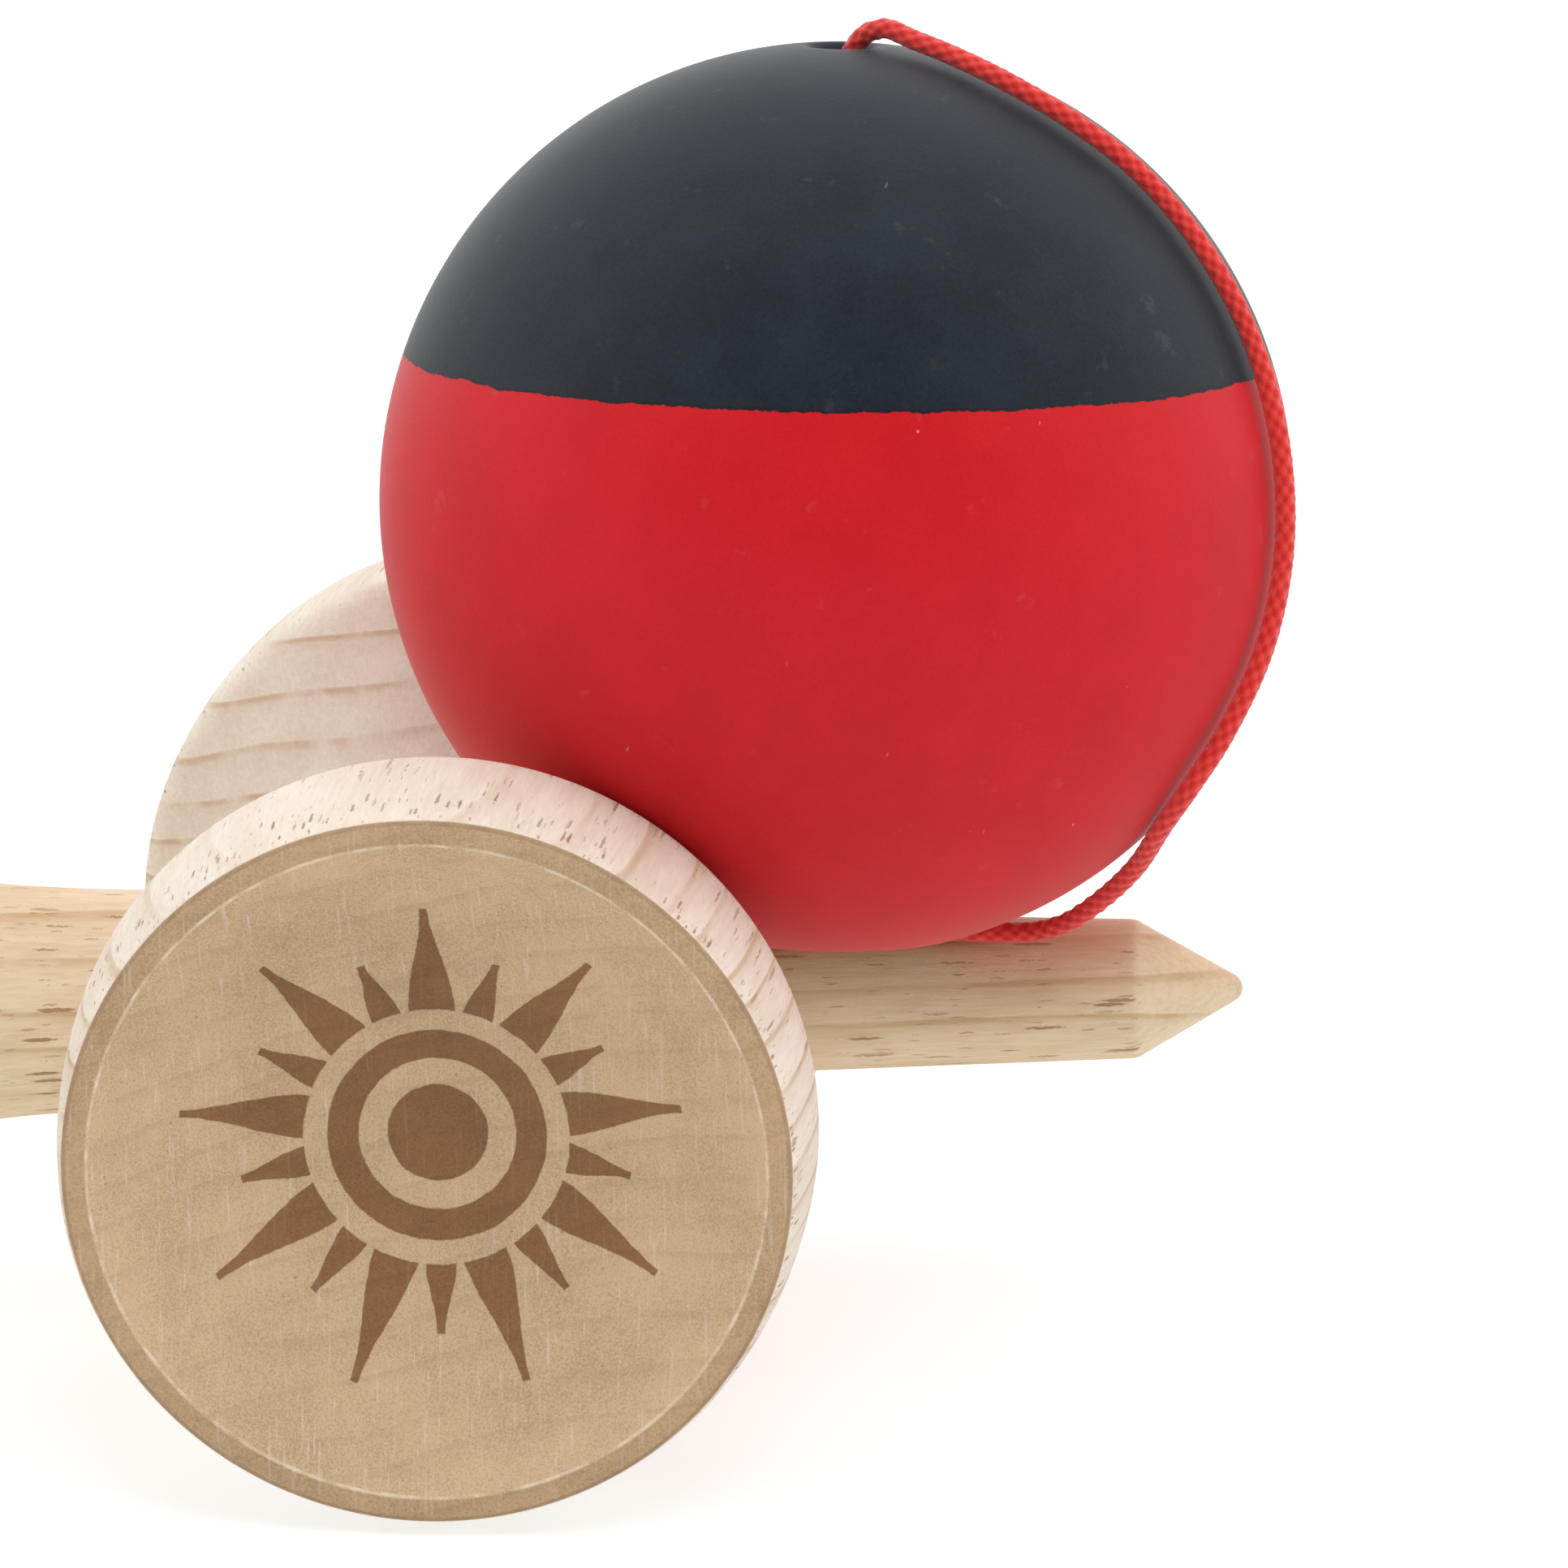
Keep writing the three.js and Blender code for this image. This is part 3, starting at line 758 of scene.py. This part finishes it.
SUN_DISC_EDGE = (3.3, 3.2)  # radii between which the disc fades in, in mm as all of the sun
SUN_RING_RADIUS = 6.1
SUN_RING_EDGE = (1.05, 0.95)  # distances to the ring's middle between which it fades in
SUN_RAYS = (  # count, turn, inner and outer radius, and half width at the foot
    (9, 0.25, 8.6, 16.4, 1.5),
    (9, 0.75, 8.6, 12.8, 1.0),
)
SUN_RAY_TIP = 0.25  # half width of a ray's tip
SUN_DEPTH = (-26.0, -28.0)  # the sun is burnt in beyond these places along the cross piece


def burnt_sun(shader, place):
    """A plain burnt sun on the big cup's dish: a disc, a ring and rays of two lengths."""
    x, y, z = shader.parts(shader.warped(place, 1.1, 0.1))
    radius = shader.length(x, z)
    turn = shader.math("DIVIDE", shader.math("ARCTAN2", z, x), 2 * math.pi)
    disc = shader.step(radius, *SUN_DISC_EDGE)
    from_ring = shader.math("ABSOLUTE", shader.math("SUBTRACT", radius, SUN_RING_RADIUS))
    sun = shader.math("MAXIMUM", disc, shader.step(from_ring, *SUN_RING_EDGE))
    for count, shift, inner, outer, width in SUN_RAYS:
        ray = shader.math("FRACT", shader.math("MULTIPLY_ADD", turn, float(count), shift))
        aside = shader.math("ABSOLUTE", shader.math("SUBTRACT", ray, 0.5))
        aside = shader.math("MULTIPLY", shader.math("MULTIPLY", aside, radius), 2 * math.pi / count)
        half = shader.step(radius, inner, outer, width, SUN_RAY_TIP)
        wide = shader.step(shader.math("SUBTRACT", aside, half), 0.05, -0.05)
        begins = shader.step(radius, inner - 0.05, inner + 0.05)
        ends = shader.step(radius, outer, outer - 0.1)
        ray = shader.math("MULTIPLY", wide, shader.math("MULTIPLY", begins, ends))
        sun = shader.math("MAXIMUM", sun, ray)
    return shader.math("MULTIPLY", sun, shader.step(y, *SUN_DEPTH))


def cup_rims(shader, place, end, colouring):
    """Paints shade on the flat lip round each dish so it comes out darker and browner, a painted highlight
    along its inner edge, and a painted dark shade line along its outer one.
    """
    x, _, z = shader.parts(place)
    radius = shader.length(x, z)
    # painted shade: the lip is darkened and made browner
    lip = shader.math("MULTIPLY", end, shader.step(radius, DISH_EDGE + 0.05, DISH_EDGE + 0.3))
    shaded_lip = shader.mix(1.0, colouring, colour(*LIP_SHADE_TINT), "MULTIPLY")
    colouring = shader.mix(lip, colouring, shaded_lip)
    # painted highlight along the lip's inner edge, broken up by noise
    inner = shader.math("ABSOLUTE", shader.math("SUBTRACT", radius, DISH_EDGE + 0.08))
    inner = shader.math("MULTIPLY", end, shader.step(inner, 0.16, 0.04))
    broken = shader.step(shader.noise(place, 0.5, 4.0, 0.7), 0.35, 0.65)
    colouring = shader.mix(shader.math("MULTIPLY", inner, broken), colouring, colour(*INNER_EDGE_HIGHLIGHT))
    # painted shade: a thin dark ragged line along the rim's outer edge
    outer = shader.math("ABSOLUTE", shader.math("SUBTRACT", radius, CUP_RIM_RADIUS - 0.25))
    outer = shader.math("MULTIPLY", shader.step(outer, 0.2, 0.06), shader.noise(place, 0.8, 3.0))
    outer = shader.math("MULTIPLY", outer, end)
    return shader.mix(outer, colouring, colour(*OUTER_EDGE_SHADE))


def growth_rings(shader, along, layers):
    """How dark the growth rings' lines are, faded where the surface faces along the layers."""
    depth = shader.parts(along)[2]
    drift = shader.noise(shader.scaled(along, (0.012, 0.06, 0.06)), 1.0, 2.0, 0.4)
    depth = shader.math("MULTIPLY_ADD", drift, 3.0, depth)
    uneven = shader.noise(shader.scaled(along, (0.004, 0.02, 0.24)), 1.0, 1.0)
    ring = shader.math("MULTIPLY_ADD", depth, 1 / RING_GAP, shader.math("MULTIPLY", uneven, 0.9))
    ring = shader.math("FRACT", ring)
    late = shader.math("MULTIPLY", shader.step(ring, 0.4, 0.95), shader.step(ring, 1.0, 0.97))
    line = shader.math("MULTIPLY", shader.step(ring, 0.78, 0.9), shader.step(ring, 1.0, 0.93))
    fading = shader.noise(shader.scaled(along, (0.05, 0.35, 0.35)), 1.0, 3.0)
    fading = shader.step(fading, 0.32, 0.62, 0.2, 1.0)
    darkness = shader.math("MULTIPLY_ADD", line, 0.6, shader.math("MULTIPLY", late, 0.4))
    darkness = shader.math("MULTIPLY", darkness, fading)
    flat_on = shader.node(
        "ShaderNodeVectorMath", {0: shader.own_facing(), 1: layers}, operation="DOT_PRODUCT"
    ).outputs["Value"]
    flat_on = shader.step(shader.math("ABSOLUTE", flat_on), 0.95, 0.6, 0.3, 1.0)
    return shader.math("MULTIPLY", darkness, flat_on)


def end_grain(shader, place, pores, rings, end_colour):
    """The colour of wood cut across its fibres: stained, ringed, and dotted with pores."""
    dark = colour(*[c * END_DARKEST for c in end_colour])
    pale = colour(*[c * END_PALEST for c in end_colour])
    stain = shader.noise(shader.warped(place, 0.12, 2.5), 0.16, 4.0, 0.65)
    tone = shader.math("MULTIPLY_ADD", stain, 0.35, shader.math("MULTIPLY", pores, 0.65))
    colouring = shader.mix(shader.step(tone, 0.3, 0.62), dark, pale)
    colouring = shader.mix(shader.math("MULTIPLY", rings, 0.35), colouring, dark)
    dots = shader.specks(shader.scaled(place, (1.5, 1.5, 1.5)), 0.5, 0.2, 0.1)
    return shader.mix(shader.math("MULTIPLY", dots, 0.45), colouring, colour(*PORE_BROWN))


def ray_flecks(shader, along, cell, fleck_length):
    """Short dark flecks along the fibres, coarse ones and fine ones."""
    ragged = shader.warped(along, 2.6, 0.1)
    coarse_cell = (1 / fleck_length, 1 / cell, 1 / cell)
    fine_cell = (2 / fleck_length, 1.7 / cell, 1.7 / cell)
    coarse = shader.specks(shader.scaled(ragged, coarse_cell), 1.0, 0.34, 0.12)
    fine = shader.specks(shader.scaled(ragged, fine_cell), 0.8, 0.3, 0.12)
    return shader.math("MAXIMUM", coarse, shader.math("MULTIPLY", fine, 0.6))


def wood(name, pale, warm, end_colour, fleck_colour, grain, layers, cell, fleck_length, with_sun=False):
    """Bare beech: fibres, ray flecks and growth layers along the grain, and browner end grain.

    Grain is the way the fibres run, and layers the way from one growth ring to the next. A fleck lies in
    a cell of fleck_length by cell millimetres.
    """
    shader = Shader(name)
    place = shader.own_place()
    grain, layers = Vector(grain).normalized(), Vector(layers)
    layers = (layers - grain * layers.dot(grain)).normalized()
    turn = tuple(Matrix((grain, layers.cross(grain), layers)).to_euler())
    along = shader.scaled(place, (1, 1, 1), turn)

    outward = shader.node("ShaderNodeAttribute", {}, attribute_name="end_grain").outputs["Fac"]
    end = shader.step(outward, 0.5, 0.66)
    side = shader.step(shader.math("ABSOLUTE", outward), 0.6, 0.3)

    rings = growth_rings(shader, along, layers)
    fibre = shader.noise(shader.scaled(along, (0.08, 1.0, 1.0)), 3.2, 5.0, 0.65)
    mottle = shader.noise(shader.scaled(along, (0.25, 1.0, 1.0)), 0.35, 3.0, 0.6)
    pores = shader.noise(place, 6.5, 2.0, 0.75)
    tone = shader.math("MULTIPLY_ADD", fibre, 0.55, shader.math("MULTIPLY", mottle, 0.45))

    colouring = shader.mix(shader.step(tone, 0.36, 0.64), colour(*warm), colour(*pale))
    darker = shader.mix(1.0, colouring, colour(*RING_TINT), "MULTIPLY")
    colouring = shader.mix(rings, colouring, darker)
    colouring = shader.mix(end, colouring, end_grain(shader, place, pores, rings, end_colour))
    marks = shader.math("MULTIPLY", ray_flecks(shader, along, cell, fleck_length), side)
    colouring = shader.mix(marks, colouring, colour(*fleck_colour))

    tooling = shader.scaled(place, (2.6, 0.2, 0.12), (0, 0.14, 0))
    tooling = shader.noise(tooling, 1.6, 3.0, 0.7)
    scratches = shader.math("MULTIPLY", shader.step(tooling, 0.56, 0.72), end)
    colouring = shader.mix(shader.math("MULTIPLY", scratches, 0.4), colouring, colour(*pale))

    height = shader.math("MULTIPLY_ADD", fibre, 0.5, shader.math("MULTIPLY", pores, 0.4))
    height = shader.math("SUBTRACT", height, shader.math("MULTIPLY", marks, 0.5))
    if with_sun:
        # painted shade and painted highlights on the cup rims
        colouring = cup_rims(shader, place, end, colouring)
        sun = burnt_sun(shader, place)
        burnt = shader.mix(1.0, colouring, colour(*BURNT_TINT), "MULTIPLY")
        colouring = shader.mix(shader.math("MULTIPLY", sun, 0.95), colouring, burnt)
        height = shader.math("SUBTRACT", height, shader.math("MULTIPLY", sun, 0.4))
    shader.bump(height, WOOD_RELIEF)
    shader.set(
        Base_Color=colouring,
        Roughness=shader.math("MULTIPLY_ADD", fibre, 0.16, 0.55),
        Specular_IOR_Level=0.3,
    )
    return shader.material


def ball_paint():
    """Matte rubbery paint in two colours, with a slightly ragged border, dust and fine scratches."""
    shader = Shader("ball_paint")
    place = shader.own_place()
    wobble = shader.noise(place, 0.22, 2.0)
    ragged = shader.step(shader.noise(shader.scaled(place, (1.0, 1.0, 0.3)), 0.8, 5.0, 0.75), 0.36, 0.64)
    height = shader.parts(place)[2]
    height = shader.math("ADD", height, shader.math("MULTIPLY_ADD", ragged, 0.14, -0.07))
    height = shader.math("ADD", height, shader.math("MULTIPLY_ADD", wobble, 0.5, -0.25))
    crown = shader.step(height, PAINT_LINE - 0.03, PAINT_LINE + 0.03)
    line = shader.step(shader.math("ABSOLUTE", shader.math("SUBTRACT", height, PAINT_LINE + 0.1)), 0.12, 0.02)

    cloud = shader.noise(place, 0.16, 5.0, 0.6)
    grain = shader.noise(place, 4.0, 3.0, 0.6)
    tone = shader.math("MULTIPLY_ADD", cloud, 0.6, shader.math("MULTIPLY", grain, 0.4))
    tone = shader.step(tone, 0.35, 0.65)
    red = shader.mix(tone, *[colour(*paint) for paint in RED_PAINT])
    black = shader.mix(tone, *[colour(*paint) for paint in BLACK_PAINT])
    colouring = shader.mix(crown, red, black)
    colouring = shader.mix(shader.math("MULTIPLY", line, 0.5), colouring, colour(*PAINT_BORDER))

    dust = shader.specks(shader.scaled(place, (0.3, 0.3, 0.3)), 0.35, 0.045, 0.03)
    bent = shader.scaled(shader.warped(place, 0.5, 0.4), (0.9, 0.12, 0.3), (0.6, 0.9, 0.3))
    hair = shader.specks(bent, 0.12, 0.09, 0.05)
    smear = shader.step(shader.noise(place, 0.35, 4.0, 0.7), 0.62, 0.78)
    dust = shader.math("MAXIMUM", shader.math("MULTIPLY", dust, 0.9), shader.math("MULTIPLY", hair, 0.35))
    dust = shader.math("MAXIMUM", dust, shader.math("MULTIPLY", smear, 0.05))
    colouring = shader.mix(dust, colouring, colour(*DUST))

    relief = shader.math("MULTIPLY_ADD", cloud, 0.5, shader.math("MULTIPLY", grain, 0.5))
    shader.bump(relief, PAINT_RELIEF)
    shader.set(
        Base_Color=colouring,
        Roughness=shader.math("MULTIPLY_ADD", cloud, 0.1, 0.47),
        Specular_IOR_Level=0.2,
        Sheen_Weight=0.18,
        Sheen_Roughness=0.3,
    )
    return shader.material


def braid_material():
    """Red braided polyester: fibres along crossing strands, with painted shade between the strands, and a
    soft sheen.
    """
    shader = Shader("string_braid")
    place = shader.node("ShaderNodeUVMap", {}, uv_map="braid").outputs[0]
    turns, metres, _ = shader.parts(place)
    around = shader.math("COSINE", shader.math("MULTIPLY", turns, 2 * math.pi * BRAID_STRANDS))
    down = shader.math("COSINE", shader.math("MULTIPLY", metres, math.pi / (BRAID_STEP * MM)))
    relief = shader.math("MULTIPLY_ADD", shader.math("MULTIPLY", around, down), 0.5, 0.5)
    fibres = shader.noise(shader.scaled(place, (26.0, 2.2 / (BRAID_STEP * MM), 1.0)), 1.0, 3.0, 0.7)
    blotch = shader.noise(shader.scaled(place, (1.0, 0.25 / (BRAID_STEP * MM), 1.0)), 1.0, 2.0)
    # the strands' lattice puts painted shade between the strands; the fibres' noise is the yarn's own tone
    tone = shader.math("MULTIPLY_ADD", relief, 0.45, shader.math("MULTIPLY", fibres, 0.55))
    tone = shader.math("ADD", tone, shader.math("MULTIPLY_ADD", blotch, 0.2, -0.1))
    colouring = shader.mix(shader.step(tone, 0.15, 0.8), *[colour(*yarn) for yarn in YARN_AND_STRAND_SHADE])
    shader.bump(tone, BRAID_BUMP)
    shader.set(
        Base_Color=colouring,
        Roughness=0.75,
        Specular_IOR_Level=0.3,
        Sheen_Weight=0.35,
        Sheen_Roughness=0.5,
    )
    return shader.material


def bead_material():
    """Smooth ivory plastic with faint flow marks."""
    shader = Shader("bead_plastic")
    place = shader.own_place()
    flow = shader.noise(shader.scaled(place, (1.0, 1.0, 2.5)), 0.7, 3.0, 0.5, 1.5)
    colouring = shader.mix(shader.step(flow, 0.3, 0.7), *[colour(*ivory) for ivory in IVORY])
    shader.bump(shader.noise(place, 2.5, 2.0), BEAD_RELIEF)
    shader.set(Base_Color=colouring, Roughness=shader.math("MULTIPLY_ADD", flow, 0.15, 0.28))
    return shader.material


sarado_wood = wood(
    "sarado_wood",
    pale=(0.82, 0.74, 0.64),
    warm=(0.74, 0.635, 0.525),
    end_colour=(0.62, 0.445, 0.275),
    fleck_colour=(0.37, 0.245, 0.15),
    grain=(0.08, 1, 0),
    layers=(-0.2, 0, 1),
    cell=0.38,
    fleck_length=9,
    with_sun=True,
)
ken_wood = wood(
    "ken_wood",
    pale=(0.8, 0.66, 0.46),
    warm=(0.7, 0.55, 0.36),
    end_colour=(0.68, 0.52, 0.34),
    fleck_colour=(0.36, 0.2, 0.09),
    grain=(1, 0, 0.02),
    layers=(0, 0.4, 1),
    cell=0.5,
    fleck_length=5.5,
)
red_braid = braid_material()

mark_end_grain(sarado, (0, 1, 0))
mark_end_grain(ken, (1, 0, 0))
mark_end_grain(tama, (0, 0, 1))


def paint_ball(piece):
    """Paint outside, and bare wood in the bore and the string hole."""
    piece.data.materials.append(ball_paint())
    piece.data.materials.append(ken_wood)
    for face in piece.data.polygons:
        across = math.hypot(face.center.x, face.center.y) / MM
        height = face.center.z / MM
        in_bore = across < BORE_RADIUS + BORE_CHAMFER * 0.6 and height < BORE_ROOF + 1
        in_string_hole = across < STRING_HOLE_RADIUS * 1.1 and height < BALL_RADIUS - 1
        face.material_index = 1 if in_bore or in_string_hole else 0


paint_ball(tama)
for piece, finish in (
    (sarado, sarado_wood),
    (ken, ken_wood),
    (bead, bead_material()),
    (string, red_braid),
    (sarado_knot, red_braid),
    (bead_knot, red_braid),
):
    piece.data.materials.append(finish)

# ------------------------------------------------------------------ bodies

for piece, node, body, slot in (
    (ken, "ken", "ken", "ken_wood"),
    (sarado, "sarado", "sarado", "sarado_wood"),
    (tama, "tama", "tama", "ball_paint"),
    (bead, "bead", "string_end", "bead"),
    (bead_knot, "bead_knot", "string_end", "string"),
    (sarado_knot, "sarado_knot", "sarado", "string"),
):
    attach(piece, body)
    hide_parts(node)

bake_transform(string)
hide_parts("string_upper", "string_lower", "string_tail", "string_coil")

# ------------------------------------------------------------------ floor and light

FLOOR_HALF = 4.0  # m
FLOOR_GREY = colour(0.45, 0.45, 0.45)
WHITE = colour(1, 1, 1)
FLOOR_GLOW = 0.62
FRONT = -CAMERA_FORWARD.normalized()
FRONT_FADE = ((0.3, 1.3), (0.95, 0.1))  # the world's strength from aside to the front
BELOW_FADE = ((-0.15, 0.3), (0.05, 1))  # and from under the horizon to above it
KEY_LIGHT_POINT = (0.2, -0.45, 0.75)  # m
KEY_LIGHT_TARGET = (0, 0, 0.03)
KEY_LIGHT_SIZE = (0.5, 0.4)
KEY_LIGHT_POWER = 2.8  # W


def make_floor():
    """A wide white floor that glows a little, so that it is as white as the room."""
    mesh = bpy.data.meshes.new("floor")
    corners = [(-1, -1), (1, -1), (1, 1), (-1, 1)]
    mesh.from_pydata([(x * FLOOR_HALF, y * FLOOR_HALF, 0) for x, y in corners], [], [(0, 1, 2, 3)])
    floor = bpy.data.objects.new("floor", mesh)
    bpy.context.scene.collection.objects.link(floor)
    shader = Shader("floor_white")
    shader.set(
        Base_Color=FLOOR_GREY,
        Roughness=0.9,
        Specular_IOR_Level=0.0,
        Emission_Color=WHITE,
        Emission_Strength=FLOOR_GLOW,
    )
    mesh.materials.append(shader.material)
    floor.visible_glossy = False


def world_fade(tree, value, fade, interpolation):
    """Maps a socket's value between the two (from, to) pairs of fade."""
    made = tree.nodes.new("ShaderNodeMapRange")
    made.interpolation_type = interpolation
    (made.inputs["From Min"].default_value, made.inputs["To Min"].default_value) = fade[0]
    (made.inputs["From Max"].default_value, made.inputs["To Max"].default_value) = fade[1]
    tree.links.new(value, made.inputs["Value"])
    return made.outputs[0]


def make_world():
    """A white room, darker on the side where the photographer stands and below the horizon."""
    world = bpy.data.worlds.new("studio")
    world.use_nodes = True
    tree = world.node_tree
    direction = tree.nodes.new("ShaderNodeTexCoord").outputs["Generated"]
    facing = tree.nodes.new("ShaderNodeVectorMath")
    facing.operation = "DOT_PRODUCT"
    tree.links.new(direction, facing.inputs[0])
    facing.inputs[1].default_value = FRONT
    split = tree.nodes.new("ShaderNodeSeparateXYZ")
    tree.links.new(direction, split.inputs[0])
    strength = tree.nodes.new("ShaderNodeMath")
    strength.operation = "MULTIPLY"
    front = world_fade(tree, facing.outputs["Value"], FRONT_FADE, "SMOOTHSTEP")
    below = world_fade(tree, split.outputs["Z"], BELOW_FADE, "LINEAR")
    tree.links.new(front, strength.inputs[0])
    tree.links.new(below, strength.inputs[1])
    background = tree.nodes["Background"]
    background.inputs["Color"].default_value = WHITE
    tree.links.new(strength.outputs[0], background.inputs["Strength"])
    bpy.context.scene.world = world


def make_light(name, point, target, size, power):
    """A soft rectangular light at a point, turned to the target."""
    data = bpy.data.lights.new(name, "AREA")
    data.shape = "RECTANGLE"
    data.size, data.size_y = size
    data.energy = power
    light = bpy.data.objects.new(name, data)
    light.location = point
    light.rotation_euler = (Vector(target) - Vector(point)).to_track_quat("-Z", "Y").to_euler()
    light.visible_glossy = False
    bpy.context.scene.collection.objects.link(light)


make_floor()
make_world()
make_light("key", KEY_LIGHT_POINT, KEY_LIGHT_TARGET, KEY_LIGHT_SIZE, KEY_LIGHT_POWER)
bpy.context.scene.view_settings.view_transform = "Standard"
